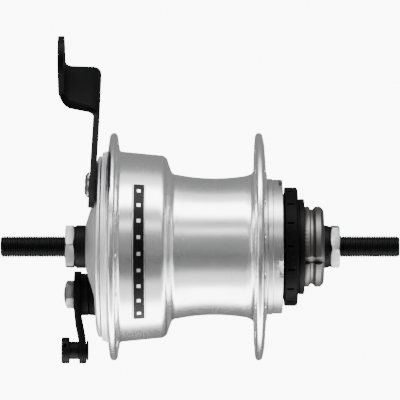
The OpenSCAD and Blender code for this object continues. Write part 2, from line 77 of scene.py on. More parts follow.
def joint_centre(name):
    """Where a hinge's axis crosses the YZ plane, in millimetres."""
    p = JOINTS[name]["pos_m"]
    return p[1] / MM, p[2] / MM


# ---------- Mesh tools ----------

def shade(mesh):
    """Smooth shading, apart from the sharp edges."""
    mesh.shade_smooth()
    mesh.set_sharp_from_angle(angle=SHARP)


def link(name, bm, smooth=True):
    """Makes an object from a mesh. It stays in millimetres until place() turns it into metres."""
    bmesh.ops.recalc_face_normals(bm, faces=bm.faces)
    mesh = bpy.data.meshes.new(name)
    bm.to_mesh(mesh)
    bm.free()
    piece = bpy.data.objects.new(name, mesh)
    bpy.context.scene.collection.objects.link(piece)
    if smooth:
        shade(mesh)
    return piece


def polar(r, a):
    """The (y, z) place at a radius and an angle in radians."""
    return r * math.cos(a), r * math.sin(a)


def rounded(points, steps=5):
    """Closed outline in which a third number at a point is the radius of its rounded corner."""
    out = []
    count = len(points)
    for i, point in enumerate(points):
        here = Vector(point[:2])
        radius = point[2] if len(point) > 2 else 0
        if not radius:
            out.append(tuple(here))
            continue
        a = (Vector(points[i - 1][:2]) - here).normalized()
        b = (Vector(points[(i + 1) % count][:2]) - here).normalized()
        half = a.angle(b) / 2
        centre = here + (a + b).normalized() * radius / math.sin(half)
        start = here + a * radius / math.tan(half) - centre
        end = here + b * radius / math.tan(half) - centre
        turn = start.angle_signed(end)
        for k in range(steps + 1):
            out.append(tuple(centre + Matrix.Rotation(-turn * k / steps, 2) @ start))
    return out


def arc(centre, radius, first, last, steps=8):
    """Points of an arc, with angles in degrees."""
    angles = [math.radians(first + (last - first) * k / steps) for k in range(steps + 1)]
    return [(centre[0] + radius * math.cos(a), centre[1] + radius * math.sin(a)) for a in angles]


def turned_mesh(outline, segments, centre=(0, 0)):
    """Revolves a closed outline of (x, radius) points about an axis through centre (y, z)."""
    bm = bmesh.new()
    rings = []
    for x, r in outline:
        if r < TINY:
            rings.append([bm.verts.new((x, *centre))])
            continue
        ring = []
        for k in range(segments):
            y, z = polar(r, 2 * math.pi * k / segments)
            ring.append(bm.verts.new((x, centre[0] + y, centre[1] + z)))
        rings.append(ring)
    for i, ring in enumerate(rings):
        after = rings[(i + 1) % len(rings)]
        if len(ring) == 1 and len(after) == 1:
            continue
        for k in range(segments):
            n = (k + 1) % segments
            if len(ring) == 1:
                bm.faces.new((ring[0], after[n], after[k]))
            elif len(after) == 1:
                bm.faces.new((ring[k], ring[n], after[0]))
            else:
                bm.faces.new((ring[k], ring[n], after[n], after[k]))
    return bm


def turned(name, outline, segments=192, centre=(0, 0)):
    """Turned piece from an outline whose corners may be rounded."""
    return link(name, turned_mesh(rounded(outline), segments, centre))


def prism(name, points, x0, x1):
    """Closed block between x0 and x1 with a flat outline of (y, z) points."""
    bm = bmesh.new()
    near = [bm.verts.new((x0, y, z)) for y, z in points]
    far = [bm.verts.new((x1, y, z)) for y, z in points]
    bm.faces.new(near)
    bm.faces.new(far)
    for i in range(len(points)):
        n = (i + 1) % len(points)
        bm.faces.new((near[i], near[n], far[n], far[i]))
    return link(name, bm, smooth=False)


def bar(name, x, r, centre=(0, 0), segments=48):
    """Round bar between x[0] and x[1]."""
    return turned(name, [(x[0], 0), (x[0], r), (x[1], r), (x[1], 0)], segments, centre)


def box_at(name, x, size, angle, distance):
    """Block that is size[0] deep along the radius and size[1] wide, starting at a distance."""
    a = math.radians(angle)
    out, side = Vector((math.cos(a), math.sin(a))), Vector((-math.sin(a), math.cos(a)))
    corners = []
    for depth, width in ((0, -0.5), (1, -0.5), (1, 0.5), (0, 0.5)):
        corners.append(out * (distance + depth * size[0]) + side * width * size[1])
    return prism(name, [tuple(c) for c in corners], *x)


def through(node):
    """The x range of a cutter that passes right through a node."""
    x0, x1 = span(node)
    return x0 - 2, x1 + 2


def join(name, parts):
    """Joins objects into the first one."""
    bm = bmesh.new()
    for part in parts:
        bm.from_mesh(part.data)
    mesh = bpy.data.meshes.new(name)
    bm.to_mesh(mesh)
    bm.free()
    for part in parts[1:]:
        bpy.data.objects.remove(part)
    parts[0].data = mesh
    parts[0].name = name
    shade(mesh)
    return parts[0]


def bake(piece):
    """Applies the modifiers of a piece to its mesh."""
    bpy.context.view_layer.update()
    graph = bpy.context.evaluated_depsgraph_get()
    mesh = bpy.data.meshes.new_from_object(piece.evaluated_get(graph))
    piece.modifiers.clear()
    piece.data = mesh


def carve(piece, cutters, operation="DIFFERENCE"):
    """Cuts the pieces in cutters out of a piece, or adds them to it."""
    for cutter in cutters:
        tool = piece.modifiers.new("cut", "BOOLEAN")
        tool.operation = operation
        tool.solver = "EXACT"
        tool.object = cutter
        bake(piece)
        bpy.data.objects.remove(cutter)
    shade(piece.data)


def soften(piece, width, segments, angle):
    """Rounds the edges of a piece that turn by more than an angle in degrees."""
    bevel = piece.modifiers.new("edges", "BEVEL")
    bevel.width = width
    bevel.segments = segments
    bevel.limit_method = "ANGLE"
    bevel.angle_limit = math.radians(angle)
    bevel.miter_outer = "MITER_ARC"
    bevel.harden_normals = True
    bake(piece)
    shade(piece.data)


# ---------- Materials ----------

def shader(name, **values):
    """A material with a Principled shader whose sockets hold the given values."""
    material = bpy.data.materials.new(name)
    material.use_nodes = True
    tree = material.node_tree
    principled = tree.nodes["Principled BSDF"]
    for socket, value in values.items():
        principled.inputs[socket.replace("_", " ")].default_value = value
    return material, tree, principled


def node(tree, kind, **settings):
    """A shader node with some of its settings or sockets set."""
    made = tree.nodes.new(kind)
    for key, value in settings.items():
        if hasattr(made, key):
            setattr(made, key, value)
        else:
            made.inputs[key].default_value = value
    return made


def ramp(tree, source, low, high, start=0.3, end=0.7):
    """Maps a number onto a range of numbers."""
    made = node(tree, "ShaderNodeMapRange")
    made.inputs["From Min"].default_value = start
    made.inputs["From Max"].default_value = end
    made.inputs["To Min"].default_value = low
    made.inputs["To Max"].default_value = high
    tree.links.new(source, made.inputs["Value"])
    return made.outputs["Result"]


def colours(tree, source, low, high, start=0.3, end=0.7):
    """Maps a number onto a range between two colours."""
    made = node(tree, "ShaderNodeValToRGB")
    made.color_ramp.elements[0].color = (*low, 1)
    made.color_ramp.elements[1].color = (*high, 1)
    made.color_ramp.elements[0].position = start
    made.color_ramp.elements[1].position = end
    tree.links.new(source, made.inputs["Fac"])
    return made.outputs["Color"]


def bumped(tree, principled, source, strength, distance):
    """Lets a number raise the surface by up to a distance in metres."""
    made = node(tree, "ShaderNodeBump")
    made.inputs["Strength"].default_value = strength
    made.inputs["Distance"].default_value = distance
    tree.links.new(source, made.inputs["Height"])
    tree.links.new(made.outputs["Normal"], principled.inputs["Normal"])


def added(tree, a, b):
    """Sum of two numbers."""
    total = node(tree, "ShaderNodeMath", operation="ADD")
    tree.links.new(a, total.inputs[0])
    tree.links.new(b, total.inputs[1])
    return total.outputs[0]


def object_place(tree):
    """The place of a point on the object, in metres."""
    return node(tree, "ShaderNodeTexCoord").outputs["Object"]


def coordinates(tree):
    """The place of a point on the object as three numbers, X, Y and Z."""
    parts = node(tree, "ShaderNodeSeparateXYZ")
    tree.links.new(object_place(tree), parts.inputs["Vector"])
    return parts.outputs


def noise_at(tree, place, scale, detail):
    """Noise over a place, with a number of spots per metre and a number of finer layers."""
    noise = node(tree, "ShaderNodeTexNoise", Scale=scale, Detail=detail, Roughness=0.6)
    tree.links.new(place, noise.inputs["Vector"])
    return noise.outputs["Fac"]


def grain(tree, scale, detail):
    """Noise all over the surface."""
    return noise_at(tree, object_place(tree), scale, detail)


def turning_marks(tree, scale):
    """Noise that changes along the axle and with the radius, but not around the axis."""
    parts = coordinates(tree)
    across = node(tree, "ShaderNodeCombineXYZ")
    tree.links.new(parts["Y"], across.inputs["Y"])
    tree.links.new(parts["Z"], across.inputs["Z"])
    radius = node(tree, "ShaderNodeVectorMath", operation="LENGTH")
    tree.links.new(across.outputs["Vector"], radius.inputs[0])
    lines = node(tree, "ShaderNodeCombineXYZ")
    tree.links.new(parts["X"], lines.inputs["X"])
    tree.links.new(radius.outputs["Value"], lines.inputs["Y"])
    return noise_at(tree, lines.outputs["Vector"], scale, 3)


def darker(colour, share):
    """A share of a colour."""
    return tuple(c * share for c in colour)


def turned_metal(name, colour, rough, marks, depth, spread=0.08, lip=None):
    """Bare metal with fine lathe marks, and broad patches where the polish differs a little.

    spread is how far the roughness strays. lip is an x below which the surface is left as
    turned, without the final polish.
    """
    patch_scale, lip_rough, lip_fade = 45, 0.26, 0.5
    material, tree, principled = shader(name, Metallic=1.0)
    lines = turning_marks(tree, marks)
    both = added(tree, lines, grain(tree, patch_scale, 2))
    tint = colours(tree, both, darker(colour, 0.9), colour, 0.7, 1.0)
    tree.links.new(tint, principled.inputs["Base Color"])
    roughness = ramp(tree, both, rough + spread, rough - spread, 0.7, 1.3)
    if lip is not None:
        x = coordinates(tree)["X"]
        extra = ramp(tree, x, lip_rough, 0, lip * MM, (lip + lip_fade) * MM)
        roughness = added(tree, roughness, extra)
    tree.links.new(roughness, principled.inputs["Roughness"])
    bumped(tree, principled, lines, depth, 0.02 * MM)
    return material


def plated_metal(name, colour, rough, scale=900):
    """Bright plate: a fine mottle in colour and gloss."""
    material, tree, principled = shader(name, Metallic=1.0)
    fine, broad = grain(tree, scale, 5), grain(tree, scale / 9, 3)
    tint = colours(tree, broad, darker(colour, 0.82), colour, 0.35, 0.62)
    tree.links.new(tint, principled.inputs["Base Color"])
    tree.links.new(ramp(tree, fine, rough - 0.07, rough + 0.1), principled.inputs["Roughness"])
    bumped(tree, principled, fine, 0.25, 0.01 * MM)
    return material


def dull_finish(name, colour, rough, scale, bump, gloss=0.5):
    """Black oxide, paint, plastic or rubber, told apart by its grain and gloss."""
    material, tree, principled = shader(name, Specular_IOR_Level=gloss)
    fine, broad = grain(tree, scale, 5), grain(tree, scale / 14, 3)
    worn = tuple(c * 1.7 + 0.0004 for c in colour)
    tint = colours(tree, broad, colour, worn, 0.35, 0.7)
    tree.links.new(tint, principled.inputs["Base Color"])
    tree.links.new(ramp(tree, fine, rough - 0.06, rough + 0.1), principled.inputs["Roughness"])
    bumped(tree, principled, fine, bump, 0.03 * MM)
    return material


# Turned metals: colour, roughness, marks per metre, their depth, spread of the roughness.
# Plated metals: colour, roughness, grain per metre. Dull finishes: the same, then bump and gloss.
POLISHED = turned_metal("polished_aluminium", (0.84, 0.84, 0.85), 0.25, 1900, 0.02, 0.03, lip=-40)
PLATE = turned_metal("turned_plate", (0.74, 0.74, 0.75), 0.42, 1500, 0.05, 0.05)
SATIN = turned_metal("satin_steel", (0.5, 0.5, 0.51), 0.33, 2400, 0.09)
SEAT = turned_metal("driver_steel", (0.1, 0.098, 0.096), 0.45, 2200, 0.1)
ZINC = plated_metal("zinc_plate", (0.22, 0.22, 0.225), 0.4)
OXIDE = dull_finish("black_oxide", (0.0014, 0.0014, 0.0015), 0.48, 2600, 0.2, gloss=0.07)
PAINT = dull_finish("black_paint", (0.0011, 0.0011, 0.0012), 0.48, 1300, 0.16, gloss=0.05)
THREAD = dull_finish("black_thread", (0.001, 0.001, 0.0011), 0.42, 2600, 0.15, gloss=0.12)
PLASTIC = dull_finish("black_plastic", (0.0012, 0.0012, 0.0014), 0.5, 2000, 0.12, gloss=0.035)
RUBBER = dull_finish("rubber", (0.002, 0.002, 0.002), 0.6, 1500, 0.3)
GEAR = turned_metal("gear_steel", (0.42, 0.42, 0.44), 0.36, 1500, 0.1)
BEARING = turned_metal("bearing_steel", (0.6, 0.6, 0.62), 0.16, 900, 0.03, 0.04)
SPRING = plated_metal("spring_steel", (0.34, 0.34, 0.36), 0.34, 1800)
LINER = turned_metal("cast_iron", (0.2, 0.2, 0.21), 0.45, 1100, 0.15)
LINING = dull_finish("brake_lining", (0.11, 0.075, 0.05), 0.8, 900, 0.6)
INK = dull_finish("label_black", (0.0012, 0.0012, 0.0013), 0.4, 1600, 0.03, gloss=0.12)
SILVER_INK = plated_metal("label_silver", (0.9, 0.9, 0.9), 0.4, 1500)


def place(piece, body, material, slot, *nodes):
    """Turns a piece into metres and gives it its material, body and the nodes it replaces. The slot
    argument is not used.
    """
    piece.data.transform(Matrix.Scale(MM, 4))
    piece.data.materials.clear()
    piece.data.materials.append(material)
    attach(piece, body)
    if nodes:
        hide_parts(*nodes)


# ---------- Shared sizes, in millimetres ----------

AXLE_R = 4.7625
THREAD_PITCH = 25.4 / 24
THREAD_DEPTH = 0.6
CAM = joint_centre("brake_lever_turn")
CABLE_PIN = joint_centre("cable_pin_turn")
FULCRUM = joint_centre("front_shoe_turn")
ARM_ANGLE = math.degrees(math.atan2(FULCRUM[1], FULCRUM[0]))
LEVER = Vector(CABLE_PIN) - Vector(CAM)
LEVER_ANGLE = math.degrees(math.atan2(LEVER.y, LEVER.x))
CLUTCH_ANGLE = 21
HUB = "axle_assembly"

# Two rings of balls as (x, radius of the ring), and the radius of the tracks they run in
RING_BALLS = (30.5, 20.9)
DRIVER_BALLS = (47.6, 11.6)
TRACK_R = 2.45

# The driver's step under the dust cap and spacer, and the drum's slightly tapered outside
STEP_X = 35.4
STEP_R = 17.18
DRUM = ((-32, 41.05), (-18.7, 39.75))

# The boss round the cam's spindle, and the hole for it in the lever and its spacer
BOSS_X = -46.9
SPINDLE_HOLE_R = 4.5


def hexagon(flats, vertex, centre=(0, 0)):
    """Corners of a hexagon given its size across flats and the direction of one corner."""
    corner = flats / 2 / math.cos(math.pi / 6)
    angles = [math.radians(vertex + 60 * k) for k in range(6)]
    return [(centre[0] + corner * math.cos(a), centre[1] + corner * math.sin(a)) for a in angles]


# ---------- Axle ----------

def threaded(x0, x1):
    """Rod with a right-hand thread and open ends. It is chamfered at x1, which may be below x0."""
    steps, chamfer, merged = 64, 0.95, 1e-5
    way = 1 if x1 > x0 else -1
    length = abs(x1 - x0)
    crest, root = AXLE_R, AXLE_R - THREAD_DEPTH
    neck, tip = root - 0.2, crest - chamfer
    profile = [(0.0, crest), (0.16, crest), (0.46, root), (0.62, root)]
    turns = range(-2, int(length / THREAD_PITCH) + 2)
    bm = bmesh.new()
    columns = []
    for k in range(steps):
        a = 2 * math.pi * k / steps
        column = []
        for t in turns:
            for part, r in profile:
                s = (t + part + way * k / steps) * THREAD_PITCH
                if s <= 0:
                    s, r = 0, neck
                elif s >= length:
                    s, r = length, tip
                else:
                    r = min(r, tip + (length - s))
                column.append(bm.verts.new((x0 + way * s, *polar(r, a))))
        columns.append(column)
    for k in range(steps):
        here = columns[k]
        after, shift = (columns[k + 1], 0) if k + 1 < steps else (columns[0], way * len(profile))
        for i in range(len(here) - 1):
            if 0 <= i + shift and i + 1 + shift < len(after):
                bm.faces.new((here[i], here[i + 1], after[i + 1 + shift], after[i + shift]))
    bmesh.ops.remove_doubles(bm, verts=bm.verts, dist=merged)
    bmesh.ops.dissolve_degenerate(bm, edges=bm.edges, dist=merged)
    loose = [v for v in bm.verts if not v.link_faces]
    bmesh.ops.delete(bm, geom=loose, context="VERTS")
    return bm


def close_end(bm, x, steps):
    """Draws the open edge at x inwards through steps of (x, radius), then closes it."""
    near = 1e-4
    edges = [e for e in bm.edges if e.is_boundary and all(abs(v.co.x - x) < near for v in e.verts)]
    for new_x, radius in steps:
        made = bmesh.ops.extrude_edge_only(bm, edges=edges)["geom"]
        edges = [g for g in made if isinstance(g, bmesh.types.BMEdge)]
        for v in {v for e in edges for v in e.verts}:
            flat = Vector((v.co.y, v.co.z)).normalized() * radius
            v.co = (new_x, flat.x, flat.y)
    bmesh.ops.contextual_create(bm, geom=edges)


def make_axle():
    """Thread up to both locknuts, a plain core with a thicker middle, and a bore at the right."""
    left, right = span("axle")
    nut_left, nut_right = span("left_locknut")[1], span("right_locknut")[0]
    dimple_r, bore_r, bore_depth = 1.3, 2.6, 24
    left_end = threaded(nut_left, left)
    close_end(left_end, left, [(left, dimple_r), (left + 0.8, 0.5)])
    close_end(left_end, nut_left, [])
    right_end = threaded(nut_right, right)
    close_end(right_end, right, [
        (right, bore_r + 0.35), (right - 0.4, bore_r), (right - bore_depth, bore_r)
    ])
    close_end(right_end, nut_right, [])
    core_left, core_right, core_r = -12.5, 16.9, 5.3
    tuck, tuck_r = 0.5, 4.1
    core = turned_mesh(rounded([
        (nut_left - tuck, 0), (nut_left - tuck, tuck_r), (nut_left, AXLE_R), (core_left, AXLE_R),
        (core_left, core_r, 0.3), (core_right, core_r, 0.3), (core_right, AXLE_R),
        (nut_right, AXLE_R), (nut_right + tuck, tuck_r), (nut_right + tuck, 0)
    ]), 96)
    parts = [link("axle", core), link("axle_left", left_end), link("axle_right", right_end)]
    place(join("axle_threaded", parts), HUB, THREAD, "black_steel", "axle")


def lock_nut(name, node_name, vertex):
    """Hexagon nut with its corners turned off on both faces and a countersunk thread."""
    x0, x1 = span(node_name)
    flats, land, wide, slope = 17.5, 8.5, 11.5, 0.42
    fall = (wide - land) * slope
    nut = prism(name, hexagon(flats, vertex), x0, x1)
    form = turned(name + "_form", [
        (x0, 0), (x0, land), (x0 + fall, wide), (x1 - fall, wide), (x1, land), (x1, 0)
    ], 256)
    carve(nut, [form], "INTERSECT")
    sink, past = 0.45, 1
    mouth = AXLE_R + sink + past
    hole = turned(name + "_hole", [
        (x0 - past, 0), (x0 - past, mouth), (x0 + sink, AXLE_R), (x1 - sink, AXLE_R),
        (x1 + past, mouth), (x1 + past, 0)
    ], 96)
    carve(nut, [hole])
    soften(nut, 0.22, 3, 25)
    place(nut, HUB, ZINC, "zinc_plated_steel", node_name)


def make_locknuts():
    """Both nuts, each as far round as it happened to stop."""
    lock_nut("left_locknut_hex", "left_locknut", vertex=173.1)
    lock_nut("right_locknut_hex", "right_locknut", vertex=185)


def make_lock_washer():
    x0, x1 = span("left_lock_washer")
    r = 8.9
    washer = turned("lock_washer", [(x0, AXLE_R), (x0, r, 0.1), (x1, r, 0.1), (x1, AXLE_R)])
    place(washer, HUB, OXIDE, "black_steel", "left_lock_washer")


def make_left_spacer():
    x0, x1 = span("left_spacer")
    r = reach("left_spacer")
    spacer = turned("axle_spacer", [
        (x0, AXLE_R), (x0, r - 0.25, 0.3), (x0 + 0.3, r, 0.35), (x1 - 0.3, r, 0.35),
        (x1, r - 0.3, 0.3), (x1, AXLE_R)
    ])
    place(spacer, HUB, OXIDE, "black_steel", "left_spacer")


def make_right_cone():
    """Cone with the inner track of the driver's balls and a collar that shows outside."""
    x0, x1 = span("right_cone")
    cone = turned("right_bearing_cone", [
        (x0, AXLE_R), (x0, 8, 0.2), (45.25, 10.5)
    ] + arc(DRIVER_BALLS, TRACK_R, 205, 318, 14) + [
        (50.6, 9.6, 0.5), (52.8, 9.4, 0.3), (54.6, 9.15, 0.2), (55.1, 8.8, 0.15), (x1, 8.8),
        (x1, AXLE_R)
    ])
    place(cone, HUB, OXIDE, "black_steel", "right_cone")


# ---------- Brake plate and torque arm ----------

def make_brake_plate():
    """Domed plate with a rim inside the shell's edge and a boss round the cam."""
    x0, x1 = span("brake_plate")
    rim, rim_x, bore = reach("brake_plate"), -43.65, AXLE_R + 0.05
    plate = turned("anchor_plate", [
        (x0, bore), (x0, 10.2, 0.45), (-50.05, 11.9, 3), (-47.75, 19.1, 5), (-46.75, 23.2, 8),
        (-45.85, 36.9, 2.2), (-45.1, rim - 0.35, 0.5), (-44.5, rim, 0.35), (rim_x, rim, 0.2),
        (rim_x, 36.6), (x1, 36, 0.2), (-43.9, 15), (x1, 12, 0.2), (x1, bore)
    ], 256)
    carve(plate, [bar("cam_boss", (BOSS_X, -44.2), 10.3, CAM, 96)], "UNION")
    cut = through("brake_plate")
    carve(plate, [bar("cam_hole", cut, 6.3, CAM), bar("pin_hole", cut, 3.05, FULCRUM)])
    place(plate, HUB, PLATE, "turned_aluminium", "brake_plate")


# Bends are (length along the arm, bend radius), and rivets are (length, width)
ARM_THICKNESS = 2.5
ARM_TILT = math.radians(3.8)
ARM_LOW_X = -50.8
ARM_HIGH_X = span("torque_arm")[0]
ARM_REACH = 112
ARM_BENDS = ((86.6, 4.4), (89.5, 5.0))
RIVETS = ((28.95, -9.54), (33.9, 1.05))


def arm_face_x(u):
    """Where the outer face of the arm's lower part lies, at u along the arm."""
    return ARM_LOW_X + u * math.tan(ARM_TILT)


def thick_line(points, thickness, steps=10):
    """Outline of a bent strip. A third number at a point is the bend radius of its middle."""
    path = rounded([(points[0][0], points[0][1])] + list(points[1:-1]) + [points[-1]], steps)
    left, right = [], []
    for i, here in enumerate(path):
        before, after = path[max(i - 1, 0)], path[min(i + 1, len(path) - 1)]
        way = (Vector(after) - Vector(before)).normalized()
        side = Vector((-way.y, way.x)) * thickness / 2
        left.append(tuple(Vector(here) + side))
        right.append(tuple(Vector(here) - side))
    return left + right[::-1]


def slab(name, points, z0, z1):
    """Closed block between z0 and z1 with a flat outline of (x, y) points."""
    piece = prism(name, points, z0, z1)
    piece.data.transform(Matrix(((0, 1, 0, 0), (0, 0, 1, 0), (1, 0, 0, 0), (0, 0, 0, 1))))
    return piece


def bent_strip(name, side, face, angle, centre=(0, 0)):
    """Strip cut from its side view (x, length) and its face view (length, width), then turned."""
    half_width, face_range = 30, (-75, -35)
    strip = slab(name, side, -half_width, half_width)
    carve(strip, [prism(name + "_face", face, *face_range)], "INTERSECT")
    shift = Matrix.Translation((0, *centre))
    strip.data.transform(shift @ Matrix.Rotation(math.radians(angle), 4, "X"))
    return strip


def make_torque_arm():
    """Flat arm that widens above the rivets, steps outwards and ends in a narrower eye."""
    half, start, bend_shift = ARM_THICKNESS / 2, 14, 0.4
    low_bend, high_bend = ARM_BENDS
    bend_x = arm_face_x(low_bend[0]) + half + bend_shift
    side = thick_line([
        (arm_face_x(start) + half, start), (bend_x, *low_bend),
        (ARM_HIGH_X + half, *high_bend), (ARM_HIGH_X + half, ARM_REACH + 1)
    ], ARM_THICKNESS)
    # The tip is a hair smaller, so that it stays inside the CAD model's box
    wide, narrow, shoulder, tip_r, hair = 14.75, 10.6, 91, 10, 0.02
    eye = ARM_REACH - tip_r
    face = rounded([
        (19.2, -6.5, 4), (22, -13, 4), (31, -14.1, 6), (46, -wide, 14), (87, -wide, 4),
        (shoulder, -narrow, 4)
    ] + arc((eye, 0), tip_r - hair, -90, 90, 28) + [
        (shoulder, narrow, 4), (87, wide, 4), (44, wide, 10), (34, 12.9, 8), (20.6, -1.6, 5)
    ], 10)
    arm = bent_strip("torque_arm_strip", side, face, ARM_ANGLE)
    clip = polar(eye, math.radians(ARM_ANGLE))
    carve(arm, [bar("clip_hole", through("torque_arm"), 3.25, clip, 64)])
    soften(arm, 0.32, 3, 30)
    place(arm, HUB, PAINT, "black_steel", "torque_arm")


def make_rivets():
    """Rivets with domed heads, through the arm and square to its face."""
    shank, sunk = 2.4, -0.02
    heads = []
    for u, v in RIVETS:
        head = turned("rivet", [
            (2, 0), (2, shank), (sunk, shank), (sunk, 4.0, 0.12), (-0.7, 3.85, 0.5),
            (-1.7, 2.5, 1.2), (-1.9, 0)
        ], 64)
        head.data.transform(
            Matrix.Rotation(math.radians(ARM_ANGLE), 4, "X")
            @ Matrix.Translation((arm_face_x(u), u, v)) @ Matrix.Rotation(-ARM_TILT, 4, "Z"))
        heads.append(head)
    place(join("rivet_heads", heads), HUB, ZINC, "zinc_plated_steel", "arm_rivets")


# ---------- Shell ----------

SPOKE_COUNT = 18
FIRST_SPOKE = 4.8


def spoke_holes(x0, x1, circle, first):
    """Countersunk holes on a circle through one flange, whose faces lie at x0 and x1."""
    r, sink, past = 1.35, 0.45, 1
    mouth = r + sink + past
    holes = []
    for k in range(SPOKE_COUNT):
        a = math.radians(first + k * 360 / SPOKE_COUNT)
        holes.append(turned("spoke_hole", [
            (x0 - past, 0), (x0 - past, mouth), (x0 + sink, r), (x1 - sink, r),
            (x1 + past, mouth), (x1 + past, 0)
        ], 24, polar(circle, a)))
    return join("spoke_holes", holes)


def make_shell():
    """Drum, waist and the two spoke flanges with round rims, and the bore inside."""
    x0, x1 = span("hub_shell")
    rim, nose = reach("hub_shell"), 1.65
    drum_bore, waist_bore, neck_bore = 37.2, 26.5, 16.4
    outline = [(x0, 40.6, 0.15), (x0 + 0.25, 41, 0.15), (-42, 41), (-41.85, 41.45, 0.15),
               (-40.95, 41.5, 0.3), (-40.7, 42.6, 0.6), (-40.4, 45.5)]
    outline += arc((-38.4, rim - nose), nose, 172, 8, 14)
    outline += [(-36.4, 45.2), (-35.75, 41.4, 1.3), *DRUM]
    outline += arc((-18.4, 36.2), 3.55, 88, 12, 12)
    outline += arc((-10.95, 34.1), 2.85, 198, 255, 10)
    outline += arc((5.3, 111.7), 82, -101.5, -80.2, 30)
    outline += arc((19.4, 34.1), 2.9, -78, 0, 10)
    outline += [(22.4, 44.5)] + arc((24.4, rim - nose), nose, 172, 8, 14)
    outline += [(26.75, 44.5), (27.6, 32.2, 0.6), (x1, 31.6, 0.2), (x1, 27.45), (18, 27.45),
                (18, waist_bore), (-13.4, waist_bore), (-13.4, neck_bore), (-19.6, neck_bore),
                (-19.6, drum_bore), (-42.5, drum_bore), (x0, 37.9, 0.2)]
    shell = turned("shell_casting", outline, 288)
    left_holes = spoke_holes(-40.4, -36.3, 45.6, FIRST_SPOKE)
    right_holes = spoke_holes(22.4, 26.7, 44.95, FIRST_SPOKE + 180 / SPOKE_COUNT)
    carve(shell, [join("holes", [left_holes, right_holes])])
    place(shell, "shell", POLISHED, "polished_aluminium", "hub_shell")


def saw_teeth(count, tip, root):
    """Outline of teeth with one face along the radius."""
    points = []
    for k in range(count):
        a = 2 * math.pi * k / count
        points += [polar(tip, a), polar(root, a)]
    return points


def make_ball_ring():
    """Ring screwed into the shell, with notches for a spanner and a ratchet inside."""
    x0, x1 = span("ball_ring")
    r = reach("ball_ring")
    teeth, tip, root, teeth_x = 24, 24, 25, 25.4
    track = (RING_BALLS[0], RING_BALLS[1] + 0.35)
    ring = turned("ball_ring_body", [
        (x0, 23.6, 0.1), (x0, 27.4, 0.3), (28, 27.4), (28, r - 0.25, 0.2), (28.3, r, 0.25),
        (30.15, r, 0.15), (30.4, r - 0.35, 0.15), (x1 - 0.3, r - 0.35, 0.25), (x1, r - 0.7, 0.25),
        (x1, 23.7, 0.2)
    ] + arc(track, TRACK_R, 88, 215, 14) + [
        (28.2, 19.3), (27.6, 19.3), (27.6, root), (teeth_x, root), (teeth_x, 23.6)
    ], 256)
    notch_depth, notch_angle = 1.8, 198.6
    notches = [box_at("notch", (x1 - notch_depth, x1 + 1), (6, 7), notch_angle + 90 * k, 26)
               for k in range(4)]
    ratchet = prism("ratchet", saw_teeth(teeth, tip, root), x0 - 1, teeth_x)
    carve(ring, [join("notches", notches), ratchet])
    soften(ring, 0.12, 2, 40)
    place(ring, "shell", SATIN, "satin_steel", "ball_ring")


def drum_r(x):
    """Radius of the drum's outside."""
    (x0, r0), (x1, r1) = DRUM
    return r0 - (x - x0) * (r0 - r1) / (x1 - x0)


def patch(bm, first, last, left, right, lift, round_ends=0.0):
    """A thin skin on the drum between two angles in degrees.

    lift is how far it stands proud. Its ends narrow to arcs if round_ends is a radius.
    """
    step, sunk, about_drum_r = 0.8, 0.05, 40
    steps = max(2, int((last - first) / step))
    a0, a1 = math.radians(first), math.radians(last)
    rows = []
    for i in range(steps + 1):
        a = math.radians(first + (last - first) * i / steps)
        gap = min(a - a0, a1 - a) * about_drum_r
        inset = 0.0
        if gap < round_ends:
            inset = round_ends - math.sqrt(max(0, round_ends ** 2 - (round_ends - gap) ** 2))
        row = []
        for height in (-sunk, lift):
            for x in (left + inset, right - inset):
                row.append(bm.verts.new((x, *polar(drum_r(x) + height, a))))
        rows.append(row)
    for one, two in zip(rows, rows[1:]):
        for i, j in ((0, 1), (1, 3), (3, 2), (2, 0)):
            bm.faces.new((one[i], one[j], two[j], two[i]))
    for row in (rows[0], rows[-1]):
        bm.faces.new((row[0], row[1], row[3], row[2]))


def make_label():
    """A plain printed band on the drum: two border lines and a row of squares, no lettering."""
    first, last, x0, x1 = 138.5, 228.5, -29.8, -24.1
    band_lift, print_lift, end_r = 0.03, 0.05, 1.0
    band = bmesh.new()
    patch(band, first, last, x0, x1, band_lift, end_r)
    place(link("label_band", band), "shell", INK, "polished_aluminium")
    printed = bmesh.new()
    line, margin, edge = 0.22, 0.3, 0.9
    for left in (x0 + margin, x1 - margin - line):
        patch(printed, first + edge, last - edge, left, left + line, print_lift)
    count, square, middle = 9, 1.5, (x0 + x1) / 2
    turn = math.degrees(square / drum_r(middle))
    pitch = (last - first) / count
    for k in range(count):
        start = first + (k + 0.5) * pitch - turn / 2
        patch(printed, start, start + turn, middle - square / 2, middle + square / 2, print_lift)
    place(link("label_print", printed), "shell", SILVER_INK, "polished_aluminium")


# ---------- Sprocket side ----------

